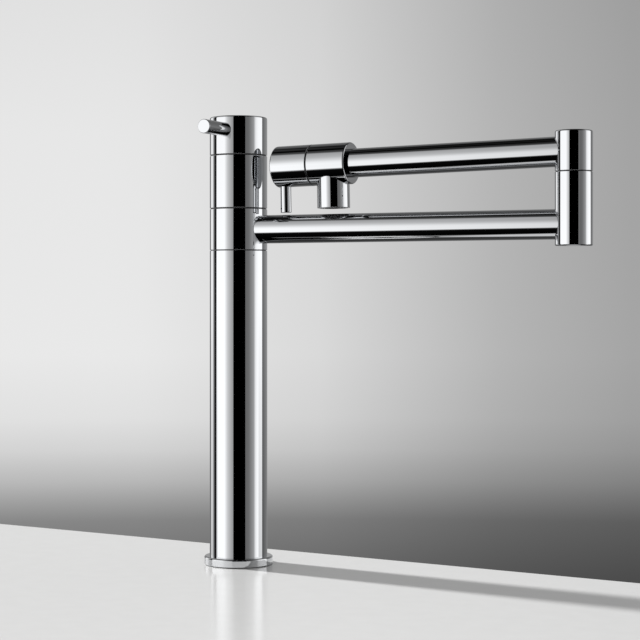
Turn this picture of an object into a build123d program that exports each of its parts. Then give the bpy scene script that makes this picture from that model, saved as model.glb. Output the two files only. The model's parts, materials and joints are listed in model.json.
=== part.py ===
from build123d import *
from math import radians, sin
import os

# A deck-mounted folding pot-filler tap. A round pillar stands on the worktop and carries a swivel ring with
# the lower arm. An elbow at the arm's end carries the upper arm, which folds back over the lower one and ends
# in a valve with a spout. A quarter-turn handle tops the pillar and another forms the end of the valve.
#
# Millimetres. Z is the pillar's axis, with zero at the worktop. At rest the lower arm runs along +X from the
# pillar, the upper arm runs back along -X above it, and the top lever points along -Y.

# Fits, and the small sizes that many pieces share
slip = 0.05
seat_gap = 0.02
loose = 0.1
overrun = 1.0
match = 0.001
edge_round = 0.4
end_round = 1.5
hex_sides = 6
seal_room_share = 1.2

# Pillar, from the worktop up
pillar_diameter = 50.0
pillar_wall = 2.0
pillar_top = 272.4
seam = 0.5
groove = 0.8
groove_depth = 1.0
swivel_ring_height = 35.5
upper_body_height = 45.3
top_handle_height = 32.9

# Base flange and the fixing through the worktop
base_lip = 4.8
base_height = 7.5
base_gap = 0.5
base_floor = 2.5
gasket_margin = 3.5
gasket_width = 5.0
gasket_depth = 1.5
foot_plug_height = 22.0
foot_plug_wall = 7.0
shank_wall = 4.0
shank_engagement = 14.0
shank_drop = 65.0
deck_thickness = 30.0
deck_gasket_height = 3.0
deck_gasket_lip = 11.0
clamp_washer_height = 3.0
clamp_washer_lip = 9.0
mounting_nut_height = 9.0
mounting_nut_wall = 7.0
mounting_nut_chamfer = 1.5

# Water inlet and riser
inlet_clearance = 3.0
inlet_wall = 3.0
inlet_thread_step = 1.45
inlet_thread_length = 15.0
inlet_drop = 82.0
inlet_collar_lip = 3.0
inlet_collar_height = 8.0
riser_diameter = 14.0
riser_wall = 1.0
riser_socket = 6.0

# Core with the swivel spindle
swivel_wall = 8.0
core_plug_height = 16.0
core_inlet_bore = 8.0
return_bore = 5.0
return_inset = 6.0
chamber_height = 8.0
chamber_depth = 2.5
seal_section = 2.2
seal_offset = 11.0

# Valve under the top handle, from the core's top up
top_housing_wall = 3.5
top_seal_height = 2.0
top_fixed_disc_height = 4.0
top_moving_disc_height = 3.5
top_drive_height = 3.5
top_housing_height = 24.0
upper_body_wall = 4.6
top_nut_height = 5.0
top_nut_recess = 4.1
top_nut_bore = 16.0
top_nut_flats = 26.0
top_nut_crown = 4.0
disc_slot_width = 6.0
disc_slot_depth = 1.6

# Top handle
top_handle_wall = 5.0
top_stem_diameter = 10.0
stem_flat = 0.6
top_cavity_height = 5.1
top_socket_web = 1.7
lever_rise = 20.8
lever_diameter = 12.0
lever_reach = 60.3
lever_seat = 17.0
lever_spigot_diameter = 8.0
lever_spigot_length = 8.0
lever_round = 0.6
top_screw_diameter = 5.0
top_screw_length = 8.0
screw_socket_share = 0.5
screw_socket_depth = 2.5

# Arms, and how close the folded arm's end comes to the pillar
arm_diameter = 24.4
arm_wall = 1.5
arm_reach = 304.9
arm_port = 12.0
folded_gap = 14.2

# Elbow
elbow_step = 3.0
elbow_foot_drop = 17.6
elbow_groove = 0.6
elbow_upper_height = 32.4
elbow_spindle_diameter = 14.0
elbow_spindle_bore = 8.0
elbow_chamber_step = 2.0
elbow_chamber_height = 7.0
elbow_port = 5.0
elbow_foot_step = 4.0
elbow_foot_depth = 9.2
elbow_plug_height = 4.0
elbow_plug_round = 0.3
elbow_thrust_height = 1.0
elbow_thrust_margin = 0.5
circlip_height = 1.2
circlip_margin = 1.0
circlip_groove_depth = 0.8
circlip_mouth = 4.0
spindle_tail = 1.4
elbow_engagement = 8.4
elbow_roof = 8.5
elbow_seal_section = 1.8
elbow_mid_seal_rise = 4.1
elbow_high_seal_drop = 4.0

# Valve at the upper arm's end
upper_arm_fall = 1.05
valve_diameter = 35.4
valve_body_length = 35.1
valve_shoulder = 1.2
valve_tube_socket = 8.0
valve_web = 1.0
valve_wall = 4.7
valve_inlet = 10.0
valve_seal_height = 1.0
valve_housing_wall = 2.5
valve_disc_height = 2.2
disc_port_share = 0.24
disc_port_place_share = 0.52
valve_drive_height = 1.5
valve_drive_diameter = 12.0
valve_cavity_length = 11.0
valve_window = 7.0
valve_stem_diameter = 9.0
valve_collar_diameter = 14.0
valve_collar_height = 2.2
valve_nut_height = 5.0
valve_nut_recess = 2.0
valve_nut_step = 3.0
valve_nut_crown = 4.0

# End handle
end_groove = 1.2
end_handle_length = 33.8
end_handle_wall = 3.7
end_cavity_depth = 6.4
end_socket_web = 3.5
end_screw_diameter = 4.0
end_screw_length = 8.0
pin_setback = 6.8
pin_diameter = 9.4
pin_clearance = 1.75
pin_seat = 8.0
pin_spigot_diameter = 6.0
pin_spigot_length = 4.0
pin_round = 0.6

# Spout and aerator, measured down from the valve's axis
spout_setback = 17.7
spout_diameter = 27.9
spout_drop = 37.3
spout_clearance = 4.8
spout_bore = 10.0
spout_socket_depth = 12.6
spout_wall = 1.95
aerator_recess = 0.6
aerator_washer_height = 2.0
aerator_washer_width = 3.5
aerator_wall = 2.0
aerator_lip_width = 0.8
aerator_lip_height = 0.8
aerator_screen_height = 1.5
aerator_key_width = 3.0
aerator_key_depth = 2.5
screen_hole = 1.9
screen_pitch = 2.6
screen_rows = 5
insert_hole = 2.0
insert_hole_count = 8
insert_hole_inset = 3.0

# Pillar radii and heights that follow from the sizes above
pillar_radius = pillar_diameter / 2
pillar_inside = pillar_radius - pillar_wall
base_radius = pillar_radius + base_lip
shank_radius = pillar_inside - foot_plug_wall
shank_inside = shank_radius - shank_wall
inlet_radius = shank_inside - inlet_clearance
plug_top = base_floor + foot_plug_height
core_bottom = pillar_top - core_plug_height
spindle_radius = pillar_radius - swivel_wall
return_offset = spindle_radius - return_inset
ring_bottom = pillar_top + seam
ring_top = ring_bottom + swivel_ring_height
body_bottom = ring_top + groove
body_top = body_bottom + upper_body_height
handle_bottom = body_top + groove
handle_top = handle_bottom + top_handle_height
lower_axis = (ring_bottom + ring_top) / 2

# Top valve and handle
top_nut_radius = pillar_radius - upper_body_wall
top_nut_bottom = body_top - top_nut_recess - top_nut_height
core_top = top_nut_bottom - top_housing_height
top_cavity_radius = spindle_radius - top_housing_wall
top_drive_bottom = core_top + top_seal_height + top_fixed_disc_height + top_moving_disc_height
lever_height = handle_bottom + lever_rise
top_socket_bottom = handle_bottom + top_cavity_height
top_socket_top = lever_height - lever_diameter / 2 - top_socket_web
top_screw_height = (top_socket_bottom + top_socket_top) / 2

# Upper arm, as distances along it from the elbow's axis
arm_radius = arm_diameter / 2
arm_inside = arm_radius - arm_wall
end_handle_end = arm_reach - pillar_radius - folded_gap
end_handle_start = end_handle_end - end_handle_length
pin_place = end_handle_end - pin_setback
end_socket_start = end_handle_start + end_cavity_depth
end_socket_end = pin_place - pin_diameter / 2 - end_socket_web
end_screw_place = (end_socket_start + end_socket_end) / 2
valve_end = end_handle_start - end_groove
valve_start = valve_end - valve_body_length
valve_web_end = valve_start + valve_tube_socket + valve_web
valve_seat = valve_web_end + valve_seal_height
valve_nut_end = valve_end - valve_nut_recess
valve_housing_end = valve_nut_end - valve_nut_height
spout_place = valve_start + spout_setback

# Radii at the upper arm's end
valve_radius = valve_diameter / 2
valve_bore_radius = valve_radius - valve_wall
valve_disc_radius = valve_bore_radius - valve_housing_wall
end_bore_radius = valve_radius - end_handle_wall
spout_radius = spout_diameter / 2
spout_thread_radius = spout_radius - spout_wall
aerator_bore_radius = spout_thread_radius - aerator_wall
aerator_mouth_radius = aerator_bore_radius - aerator_lip_width

# Height of the upper arm, which keeps the spout clear of the lower arm, and the pin that follows from it
fall_share = sin(radians(upper_arm_fall))
upper_axis = lower_axis + arm_radius + spout_clearance + spout_drop + spout_place * fall_share
pin_reach = upper_axis - pin_place * fall_share - lower_axis - arm_radius - pin_clearance

# Elbow radii and heights
elbow_radius = arm_radius + elbow_step
elbow_spindle_radius = elbow_spindle_diameter / 2
elbow_foot_radius = elbow_spindle_radius + elbow_foot_step
elbow_chamber_radius = elbow_spindle_radius + elbow_chamber_step
elbow_bottom = lower_axis - elbow_foot_drop
elbow_shoulder = elbow_bottom + elbow_foot_depth
elbow_upper_bottom = upper_axis - elbow_upper_height / 2
elbow_split = elbow_upper_bottom - elbow_groove
elbow_top = upper_axis + elbow_upper_height / 2
elbow_chamber_bottom = lower_axis - elbow_chamber_height / 2
elbow_chamber_top = lower_axis + elbow_chamber_height / 2
circlip_top = elbow_shoulder - elbow_thrust_height
elbow_engaged = elbow_upper_bottom + elbow_engagement

upright = (Align.CENTER, Align.CENTER, Align.MIN)
quarter_turn = 90
half_turn = 180


def bar(radius, bottom, top):
    """A round bar on the Z axis between two heights."""
    return Pos(0, 0, bottom) * Cylinder(radius, top - bottom, align=upright)


def ring(outer, inner, bottom, top):
    """A round ring on the Z axis, open through both ends."""
    return bar(outer, bottom, top) - bar(inner, bottom - overrun, top + overrun)


def outward(height, turn=0):
    """The place that lays a piece from the Z axis outwards at one height, turned round Z from +X."""
    return Pos(0, 0, height) * Rot(0, 0, turn) * Rot(0, quarter_turn, 0)


def spoke(radius, start, end, height, turn=0):
    """A round bar that runs outwards from the Z axis at one height."""
    return outward(height, turn) * bar(radius, start, end)


def hexagon(across_flats, bottom, top):
    """A six-sided bar on the Z axis between two heights."""
    outline = RegularPolygon(across_flats / 2, hex_sides, major_radius=False)
    return Pos(0, 0, bottom) * extrude(outline, top - bottom)


def seal(outer, section, height):
    """A rubber ring of round section that reaches out to one radius."""
    return Pos(0, 0, height) * Torus(outer - section / 2, section / 2)


def seal_groove(shaft, section, height):
    """The cutter for a shaft's groove that takes a seal."""
    half = section * seal_room_share / 2
    return ring(shaft + overrun, shaft - section - seat_gap, height - half, height + half)


def soften(part, height, radius, size):
    """Rounds the circular edge that lies at one height and has one radius."""
    circles = part.edges().filter_by(GeomType.CIRCLE)
    level = [edge for edge in circles if abs(edge.arc_center.Z - height) < match]
    return part.fillet(size, [edge for edge in level if abs(edge.radius - radius) < match])


def set_screw(diameter, length, start, height):
    """A headless screw with a hexagon socket, pointing from +Y at the Z axis."""
    screw = bar(diameter / 2 - slip, start, start + length)
    end = start + length
    screw -= hexagon(diameter * screw_socket_share, end - screw_socket_depth, end + overrun)
    return outward(height, quarter_turn) * screw


def flatted_stem(radius, bottom, top, flat_height):
    """A valve stem with a flat on its +Y side, from one height to its end, for the set screw."""
    side = Box(radius * 2, radius * 2, top - flat_height, align=(Align.CENTER, Align.MIN, Align.MIN))
    return bar(radius, bottom, top) - Pos(0, radius - stem_flat, flat_height) * side


def at_elbow(part):
    """Moves a piece from the Z axis to the elbow's axis."""
    return Pos(arm_reach, 0, 0) * part


def on_arm(part):
    """Lays a piece from the Z axis along the upper arm, which falls a little from the elbow to the valve.

    Zero is at the elbow's axis, +Z runs to the valve and +X points up.
    """
    return Pos(arm_reach, 0, upper_axis) * Rot(0, -(quarter_turn + upper_arm_fall), 0) * part


def on_spout(part):
    """Hangs a piece from the Z axis under the valve, with its height measured down from the valve's axis."""
    return on_arm(outward(spout_place, half_turn) * part)


# Foot of the pillar and the fixing through the worktop


def base_flange():
    """The low ring round the pillar's foot, with a counterbore that the pillar stands in.

    It stands on its rubber ring, which keeps it a little off the worktop.
    """
    part = bar(base_radius, base_gap, base_height)
    part = soften(part, base_height, base_radius, end_round)
    part = soften(part, base_gap, base_radius, edge_round)
    part -= bar(pillar_radius + slip, base_floor, base_height + overrun)
    part -= bar(shank_radius + loose, -overrun, base_height)
    outer = base_radius - gasket_margin
    return part - ring(outer, outer - gasket_width, -overrun, gasket_depth)


def base_gasket():
    """The flat rubber ring that fills the groove under the flange and stands out of it onto the worktop."""
    outer = base_radius - gasket_margin
    return ring(outer - slip, outer - gasket_width + slip, 0, gasket_depth)


def pillar_tube():
    """The column, from the flange's floor to the swivel ring."""
    part = bar(pillar_radius, base_floor, pillar_top)
    part = soften(part, pillar_top, pillar_radius, edge_round)
    return part - bar(pillar_inside, base_floor - overrun, pillar_top + overrun)


def foot_plug():
    """The brass plug in the column's foot. The shank screws into it from below."""
    part = bar(pillar_inside - slip, base_floor, plug_top)
    part -= bar(shank_radius + slip, base_floor - overrun, base_floor + shank_engagement)
    part -= bar(shank_inside, base_floor, plug_top + overrun)
    return part


def threaded_shank():
    """The hollow shank that passes through the worktop."""
    return ring(shank_radius, shank_inside, -shank_drop, base_floor + shank_engagement)


def deck_gasket():
    """The rubber washer pressed against the worktop from below."""
    top = -deck_thickness
    return ring(shank_radius + deck_gasket_lip, shank_radius + loose, top - deck_gasket_height, top)


def clamp_washer():
    """The steel washer between the nut and the rubber."""
    top = -deck_thickness - deck_gasket_height
    return ring(shank_radius + clamp_washer_lip, shank_radius + loose, top - clamp_washer_height, top)


def mounting_nut():
    """The brass nut that draws the tap down onto the worktop."""
    top = -deck_thickness - deck_gasket_height - clamp_washer_height
    bottom = top - mounting_nut_height
    flat = shank_radius + mounting_nut_wall
    blank = bar(flat + mounting_nut_chamfer, bottom, top)
    blank = blank.chamfer(mounting_nut_chamfer, None, blank.edges().filter_by(GeomType.CIRCLE))
    part = hexagon(flat * 2, bottom, top) & blank
    return part - bar(shank_radius + slip, bottom - overrun, top + overrun)


# Water inlet and riser


def inlet_tail():
    """The male-threaded inlet that hangs down through the shank from a collar on the foot plug."""
    top = plug_top + inlet_collar_height
    part = bar(inlet_radius + inlet_thread_step, -inlet_drop, inlet_thread_length - inlet_drop)
    part += bar(inlet_radius, inlet_thread_length - inlet_drop, plug_top)
    part += bar(shank_inside + inlet_collar_lip, plug_top, top)
    part -= bar(inlet_radius - inlet_wall, -inlet_drop - overrun, top)
    part -= bar(riser_diameter / 2 + slip, top - riser_socket, top + overrun)
    return part


def riser_tube():
    """The copper pipe from the inlet to the core."""
    bottom = plug_top + inlet_collar_height - riser_socket
    return ring(riser_diameter / 2, riser_diameter / 2 - riser_wall, bottom, core_bottom + riser_socket)


# Core and swivel


def core_body():
    """The brass core: a plug in the column's head, and the spindle that the swivel ring turns on.

    Water rises through the middle, and two side bores bring it back down to the chamber behind the arm.
    """
    part = bar(pillar_inside - slip, core_bottom, pillar_top)
    part += bar(spindle_radius, pillar_top, core_top)
    part -= bar(riser_diameter / 2 + slip, core_bottom - overrun, core_bottom + riser_socket)
    part -= bar(core_inlet_bore / 2, core_bottom, core_top + overrun)
    half = chamber_height / 2
    floor = spindle_radius - chamber_depth
    part -= ring(spindle_radius + overrun, floor, lower_axis - half, lower_axis + half)
    for side in (-1, 1):
        part -= Pos(0, side * return_offset, 0) * bar(return_bore / 2, lower_axis, core_top + overrun)
        end = spindle_radius + overrun
        part -= spoke(return_bore / 2, return_offset, end, lower_axis, side * quarter_turn)
        height = lower_axis + side * seal_offset
        part -= seal_groove(spindle_radius, seal_section, height)
    return part


def swivel_seal(side):
    """The rubber ring above or below the chamber."""
    return seal(spindle_radius + seat_gap, seal_section, lower_axis + side * seal_offset)


def swivel_glide(bottom, top):
    """The plastic ring in a groove of the pillar. The swivel ring slides on it."""
    return ring(pillar_radius - groove_depth, spindle_radius + slip, bottom, top)


def upper_body():
    """The fixed sleeve above the swivel ring, screwed onto the spindle, with the valve inside."""
    part = bar(pillar_radius, body_bottom, body_top)
    part = soften(part, body_bottom, pillar_radius, edge_round)
    part = soften(part, body_top, pillar_radius, edge_round)
    part -= bar(spindle_radius + slip, body_bottom - overrun, body_top)
    part -= bar(top_nut_radius + slip, top_nut_bottom, body_top + overrun)
    return part


# Valve under the top handle


def disc_with_ports(radius, bottom, top):
    """A disc with the inlet port in the middle and a return port on each side."""
    part = bar(radius, bottom, top) - bar(core_inlet_bore / 2, bottom - overrun, top + overrun)
    for side in (-1, 1):
        part -= Pos(0, side * return_offset, 0) * bar(return_bore / 2, bottom - overrun, top + overrun)
    return part


def top_cartridge_seal():
    """The rubber seat between the core and the fixed disc."""
    return disc_with_ports(top_cavity_radius - slip, core_top, core_top + top_seal_height)


def top_fixed_disc():
    """The ceramic disc that doesn't turn."""
    bottom = core_top + top_seal_height
    return disc_with_ports(top_cavity_radius - slip, bottom, bottom + top_fixed_disc_height)


def top_moving_disc():
    """The ceramic disc that turns with the stem. A slot in its underside links the ports when it is open."""
    bottom = top_drive_bottom - top_moving_disc_height
    part = bar(top_cavity_radius - slip, bottom, top_drive_bottom)
    length = (return_offset + return_bore / 2) * 2
    slot = Box(length, disc_slot_width, disc_slot_depth, align=upright)
    return part - Pos(0, 0, bottom) * slot


def top_cartridge_housing():
    """The brass bell over the discs, with the neck that guides the stem."""
    drive_top = top_drive_bottom + top_drive_height
    part = bar(spindle_radius - loose, core_top, top_nut_bottom)
    part -= bar(top_cavity_radius, core_top - overrun, drive_top + slip)
    return part - bar(top_stem_diameter / 2 + slip, core_top, top_nut_bottom + overrun)


def top_cartridge_nut():
    """The nut that holds the valve down in the sleeve."""
    crown = top_nut_bottom + top_nut_height
    part = bar(top_nut_radius, top_nut_bottom, crown)
    part += hexagon(top_nut_flats, crown, crown + top_nut_crown)
    return part - bar(top_nut_bore / 2, top_nut_bottom - overrun, crown + top_nut_crown + overrun)


# Top handle


def top_stem():
    """The stem that turns the moving disc, with a drive plate at its foot and a flat at its head."""
    part = flatted_stem(top_stem_diameter / 2, top_drive_bottom, top_socket_top - slip, top_socket_bottom)
    plate = top_cavity_radius - loose
    return part + bar(plate, top_drive_bottom, top_drive_bottom + top_drive_height)


def top_handle_cap():
    """The chromed cap that turns, with sockets for the stem, the lever and the set screw."""
    part = bar(pillar_radius, handle_bottom, handle_top)
    part = soften(part, handle_top, pillar_radius, end_round)
    part = soften(part, handle_bottom, pillar_radius, edge_round)
    part -= bar(pillar_radius - top_handle_wall, handle_bottom - overrun, top_socket_bottom)
    part -= bar(top_stem_diameter / 2 + slip, handle_bottom, top_socket_top)
    outside = pillar_radius + overrun
    part -= spoke(lever_diameter / 2 + slip, lever_seat, outside, lever_height, -quarter_turn)
    inner = lever_seat - lever_spigot_length
    part -= spoke(lever_spigot_diameter / 2 + slip, inner, outside, lever_height, -quarter_turn)
    part -= spoke(top_screw_diameter / 2, 0, outside, top_screw_height, quarter_turn)
    return part


def top_lever():
    """The straight rod that turns the cap, with a thinner threaded end inside it."""
    rod = bar(lever_diameter / 2, lever_seat, lever_reach)
    rod = soften(rod, lever_reach, lever_diameter / 2, lever_round)
    rod += bar(lever_spigot_diameter / 2, lever_seat - lever_spigot_length + slip, lever_seat)
    return outward(lever_height, -quarter_turn) * rod


def top_set_screw():
    """The screw at the back of the cap that grips the stem's flat."""
    start = top_stem_diameter / 2 - stem_flat
    return set_screw(top_screw_diameter, top_screw_length, start, top_screw_height)


def top_glide_ring():
    """The plastic ring in the groove under the cap."""
    return ring(pillar_radius - groove_depth, top_nut_radius + slip, body_top, handle_bottom)


# Lower arm


def swivel_ring():
    """The ring that turns on the spindle and carries the lower arm."""
    part = bar(pillar_radius, ring_bottom, ring_top)
    part = soften(part, ring_bottom, pillar_radius, edge_round)
    part = soften(part, ring_top, pillar_radius, edge_round)
    part -= bar(spindle_radius + slip, ring_bottom - overrun, ring_top + overrun)
    return part - spoke(arm_port / 2, 0, pillar_radius + overrun, lower_axis)


def lower_arm_tube():
    """The tube from the swivel ring to the elbow, cut to sit on both."""
    tube = spoke(arm_radius, 0, arm_reach, lower_axis) - spoke(arm_inside, 0, arm_reach, lower_axis)
    tube -= bar(pillar_radius + seat_gap, ring_bottom, ring_top)
    return tube - at_elbow(bar(elbow_radius + seat_gap, elbow_bottom, elbow_split))


def elbow_lower_sleeve():
    """The lower half of the elbow, with a chamber round the spindle and a deep foot for its fixings."""
    part = bar(elbow_radius, elbow_bottom, elbow_split)
    part = soften(part, elbow_bottom, elbow_radius, end_round)
    part = soften(part, elbow_split, elbow_radius, edge_round)
    part -= bar(elbow_spindle_radius + slip, elbow_bottom, elbow_split + overrun)
    part -= bar(elbow_foot_radius, elbow_bottom - overrun, elbow_shoulder)
    part -= bar(elbow_chamber_radius, elbow_chamber_bottom, elbow_chamber_top)
    part -= spoke(arm_port / 2, 0, elbow_radius + overrun, lower_axis, half_turn)
    return at_elbow(part)


def elbow_bottom_plug():
    """The chromed plug that closes the elbow's foot."""
    part = bar(elbow_foot_radius - slip, elbow_bottom, elbow_bottom + elbow_plug_height)
    return at_elbow(soften(part, elbow_bottom, elbow_foot_radius - slip, elbow_plug_round))


def elbow_thrust_washer():
    """The washer that the circlip pulls against."""
    outer = elbow_foot_radius - elbow_thrust_margin
    return at_elbow(ring(outer, elbow_spindle_radius + slip, circlip_top, elbow_shoulder))


def elbow_glide_washer():
    """The thin plastic ring between the two halves of the elbow."""
    inner = elbow_spindle_radius + slip
    return at_elbow(ring(elbow_radius - groove_depth, inner, elbow_split, elbow_upper_bottom))


# Elbow spindle and its fixings


def elbow_seal_heights():
    """The heights of the rubber rings on the spindle, from the lowest up."""
    low = (elbow_shoulder + elbow_chamber_bottom) / 2
    return low, elbow_chamber_top + elbow_mid_seal_rise, elbow_split - elbow_high_seal_drop


def elbow_spindle():
    """The hollow spindle fixed in the upper half, which the lower half turns on."""
    bottom = circlip_top - circlip_height - spindle_tail
    part = bar(elbow_spindle_radius, bottom, elbow_engaged)
    part -= bar(elbow_spindle_bore / 2, elbow_chamber_bottom, elbow_engaged + overrun)
    for side in (0, half_turn):
        part -= spoke(elbow_port / 2, 0, elbow_spindle_radius + overrun, lower_axis, side)
    floor = elbow_spindle_radius - circlip_groove_depth
    part -= ring(elbow_spindle_radius + overrun, floor, circlip_top - circlip_height, circlip_top)
    for height in elbow_seal_heights():
        part -= seal_groove(elbow_spindle_radius, elbow_seal_section, height)
    return at_elbow(part)


def elbow_seal(height):
    """A rubber ring on the spindle."""
    return at_elbow(seal(elbow_spindle_radius + seat_gap, elbow_seal_section, height))


def elbow_circlip():
    """The spring clip under the thrust washer that keeps the elbow together."""
    inner = elbow_spindle_radius - circlip_groove_depth + seat_gap
    outer = elbow_foot_radius - circlip_margin
    clip = ring(outer, inner, circlip_top - circlip_height, circlip_top)
    outwards = (Align.MIN, Align.CENTER, Align.CENTER)
    mouth = Box(outer * 2, circlip_mouth, circlip_height * 3, align=outwards)
    return at_elbow(clip - Pos(0, 0, circlip_top) * mouth)


def elbow_upper_sleeve():
    """The upper half of the elbow, closed at the top, with the port to the upper arm."""
    part = bar(elbow_radius, elbow_upper_bottom, elbow_top)
    part = soften(part, elbow_top, elbow_radius, end_round)
    part = soften(part, elbow_upper_bottom, elbow_radius, edge_round)
    part -= bar(elbow_spindle_radius + seat_gap, elbow_upper_bottom - overrun, elbow_engaged)
    part -= bar(elbow_chamber_radius, elbow_engaged, elbow_top - elbow_roof)
    part -= spoke(arm_port / 2, 0, elbow_radius + overrun, upper_axis, half_turn)
    return at_elbow(part)


# Upper arm


def upper_arm_tube():
    """The tube from the elbow into the valve."""
    end = valve_start + valve_tube_socket
    tube = on_arm(bar(arm_radius, 0, end) - bar(arm_inside, 0, end))
    return tube - at_elbow(bar(elbow_radius + seat_gap, elbow_upper_bottom, elbow_top))


def valve_body():
    """The body at the arm's end, with the tube's socket on one side and the valve's bore on the other."""
    part = bar(valve_radius, valve_start, valve_end)
    part = soften(part, valve_start, valve_radius, valve_shoulder)
    part = soften(part, valve_end, valve_radius, edge_round)
    part -= bar(arm_radius + slip, valve_start - overrun, valve_start + valve_tube_socket)
    part -= bar(valve_inlet / 2, valve_start, valve_end)
    part -= bar(valve_bore_radius, valve_web_end, valve_end + overrun)
    part -= spoke(spout_bore / 2, 0, valve_radius + overrun, spout_place, half_turn)
    return on_arm(part)


def valve_seal():
    """The rubber ring on the web that the valve's body presses on."""
    return on_arm(ring(valve_bore_radius - slip, valve_inlet / 2, valve_web_end, valve_seat))


def end_disc(bottom):
    """A ceramic disc with two ports."""
    part = bar(valve_disc_radius - slip, bottom, bottom + valve_disc_height)
    port_radius = valve_disc_radius * disc_port_share
    port = bar(port_radius, bottom - overrun, bottom + valve_disc_height + overrun)
    for side in (-1, 1):
        part -= Pos(side * valve_disc_radius * disc_port_place_share, 0, 0) * port
    return part


def valve_fixed_disc():
    """The ceramic disc that doesn't turn."""
    return on_arm(end_disc(valve_seat))


def valve_housing():
    """The brass housing of the valve, with a window over the spout."""
    part = bar(valve_bore_radius - slip, valve_seat, valve_housing_end)
    part -= bar(valve_disc_radius, valve_seat - overrun, valve_seat + valve_cavity_length)
    part -= bar(valve_stem_diameter / 2 + slip, valve_seat, valve_housing_end + overrun)
    part -= spoke(valve_window / 2, 0, valve_bore_radius + overrun, spout_place, half_turn)
    return on_arm(part)


def valve_gland_nut():
    """The nut that holds the housing in the valve's body."""
    crown_end = valve_nut_end + valve_nut_crown
    part = bar(valve_bore_radius - slip, valve_housing_end, valve_nut_end)
    part += hexagon((valve_bore_radius - valve_nut_step) * 2, valve_nut_end, crown_end)
    part -= bar(valve_stem_diameter / 2 + loose, valve_housing_end - overrun, crown_end + overrun)
    return on_arm(part)


# End handle


def end_moving_disc():
    """The ceramic disc that turns with the stem."""
    return on_arm(end_disc(valve_seat + valve_disc_height))


def end_stem():
    """The stem between the moving disc and the end handle, with a collar that stops it pulling out."""
    bottom = valve_seat + valve_disc_height * 2
    part = flatted_stem(valve_stem_diameter / 2, bottom, end_socket_end - slip, end_socket_start)
    part += bar(valve_drive_diameter / 2, bottom, bottom + valve_drive_height)
    collar = valve_seat + valve_cavity_length - slip
    part += bar(valve_collar_diameter / 2, collar - valve_collar_height, collar)
    return on_arm(part)


def end_handle_cap():
    """The chromed cap that turns at the arm's end, with sockets for the stem, the pin and the set screw."""
    part = bar(valve_radius, end_handle_start, end_handle_end)
    part = soften(part, end_handle_end, valve_radius, end_round)
    part = soften(part, end_handle_start, valve_radius, edge_round)
    part -= bar(end_bore_radius, end_handle_start - overrun, end_socket_start)
    part -= bar(valve_stem_diameter / 2 + slip, end_handle_start, end_socket_end)
    outside = valve_radius + overrun
    part -= spoke(pin_diameter / 2 + slip, pin_seat, outside, pin_place, half_turn)
    inner = pin_seat - pin_spigot_length
    part -= spoke(pin_spigot_diameter / 2 + slip, inner, outside, pin_place, half_turn)
    part -= spoke(end_screw_diameter / 2, 0, outside, end_screw_place, quarter_turn)
    return on_arm(part)


def end_pin_lever():
    """The short rod that turns the end handle, hanging down when the valve is shut."""
    rod = bar(pin_diameter / 2, pin_seat, pin_reach)
    rod = soften(rod, pin_reach, pin_diameter / 2, pin_round)
    rod += bar(pin_spigot_diameter / 2, pin_seat - pin_spigot_length + slip, pin_seat)
    return on_arm(outward(pin_place, half_turn) * rod)


def end_set_screw():
    """The screw behind the end handle that grips the stem's flat."""
    start = valve_stem_diameter / 2 - stem_flat
    return on_arm(set_screw(end_screw_diameter, end_screw_length, start, end_screw_place))


def end_glide_ring():
    """The plastic ring in the groove between the valve's body and the end handle."""
    outer = valve_radius - groove_depth
    return on_arm(ring(outer, end_bore_radius + slip, valve_end, end_handle_start))


# Spout and aerator


def spout_nozzle():
    """The short spout, cut to sit on the valve's body, with a threaded mouth for the aerator."""
    part = bar(spout_radius, 0, spout_drop)
    part = soften(part, spout_drop, spout_radius, edge_round)
    part -= bar(spout_bore / 2, -overrun, spout_drop)
    part -= bar(spout_thread_radius, spout_drop - spout_socket_depth, spout_drop + overrun)
    saddle = bar(valve_radius + seat_gap, valve_start - overrun, valve_end + overrun)
    return on_spout(part) - on_arm(saddle)


def aerator_washer():
    """The rubber washer at the top of the spout's mouth."""
    top = spout_drop - spout_socket_depth
    inner = spout_thread_radius - aerator_washer_width
    return on_spout(ring(spout_thread_radius - loose, inner, top, top + aerator_washer_height))


def aerator_housing():
    """The threaded ring that holds the aerator, with two notches for a key."""
    top = spout_drop - spout_socket_depth + aerator_washer_height
    bottom = spout_drop - aerator_recess
    part = bar(spout_thread_radius - seat_gap, top, bottom)
    part -= bar(aerator_bore_radius, top - overrun, bottom - aerator_lip_height)
    part -= bar(aerator_mouth_radius, top, bottom + overrun)
    key = Box(spout_diameter, aerator_key_width, aerator_key_depth * 2)
    return on_spout(part - Pos(0, 0, bottom) * key)


def aerator_insert():
    """The plastic flow former, with a ring of holes."""
    top = spout_drop - spout_socket_depth + aerator_washer_height
    bottom = spout_drop - aerator_recess - aerator_lip_height - aerator_screen_height
    part = bar(aerator_bore_radius - slip, top, bottom)
    hole = bar(insert_hole / 2, top - overrun, bottom + overrun)
    for place in PolarLocations(aerator_bore_radius - insert_hole_inset, insert_hole_count):
        part -= place * hole
    return on_spout(part)


def aerator_screen():
    """The honeycomb screen that shows in the spout's mouth."""
    bottom = spout_drop - aerator_recess - aerator_lip_height
    top = bottom - aerator_screen_height
    part = bar(aerator_bore_radius - slip, top, bottom)
    hole = bar(screen_hole / 2, top - overrun, bottom + overrun)
    reach = aerator_mouth_radius - screen_hole / 2
    for place in HexLocations(screen_pitch / 2, screen_rows, screen_rows, major_radius=False):
        if place.position.length < reach:
            part -= place * hole
    return on_spout(part)


low_seal, middle_seal, high_seal = elbow_seal_heights()

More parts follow.
